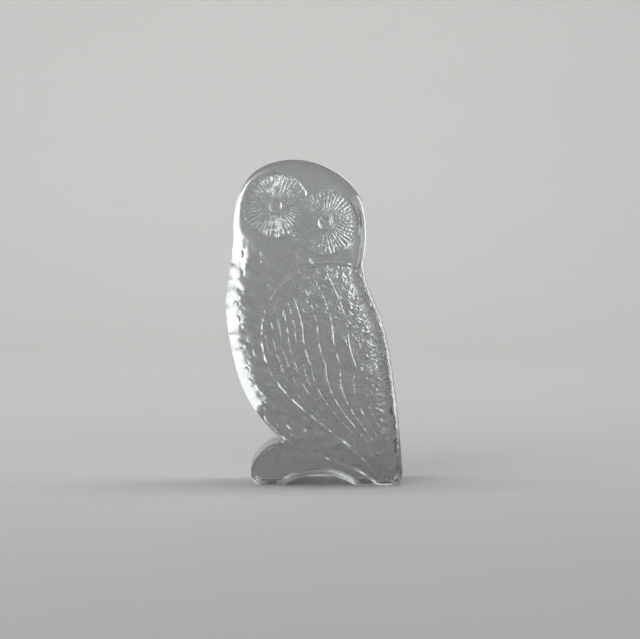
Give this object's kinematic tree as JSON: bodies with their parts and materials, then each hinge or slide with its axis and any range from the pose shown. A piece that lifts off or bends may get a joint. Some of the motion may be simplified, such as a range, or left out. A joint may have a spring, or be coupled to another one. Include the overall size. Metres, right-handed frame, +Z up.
{
  "type": "glass owl figurine",
  "caption": "Solid crystal glass owl, a thick upright slab with ribbed round eye discs and a feathered wing in relief, standing on its toe and tail.",
  "frame": {"origin": "on the surface that the owl stands on, under the middle of its box", "axes": "+Z up, +X towards the owl's back, +Y away from the viewer, so the relief faces -Y"},
  "size_m": [0.076, 0.028, 0.14],
  "materials": {
    "smooth_crystal": "clear lead crystal, smooth and fire-polished in front, satin on the plain back",
    "textured_crystal": "clear lead crystal with pressed feather relief in front, satin on the plain back",
    "cut_crystal": "clear lead crystal with bright radial ribs"
  },
  "bodies": {
    "root": {"torso": "textured_crystal", "head": "smooth_crystal", "left_eye_disc": "cut_crystal", "right_eye_disc": "cut_crystal", "left_pupil": "cut_crystal", "right_pupil": "cut_crystal", "beak": "smooth_crystal", "wing_coverts": "textured_crystal", "flight_feathers": "textured_crystal", "foot": "smooth_crystal"}
  },
  "joints": []
}
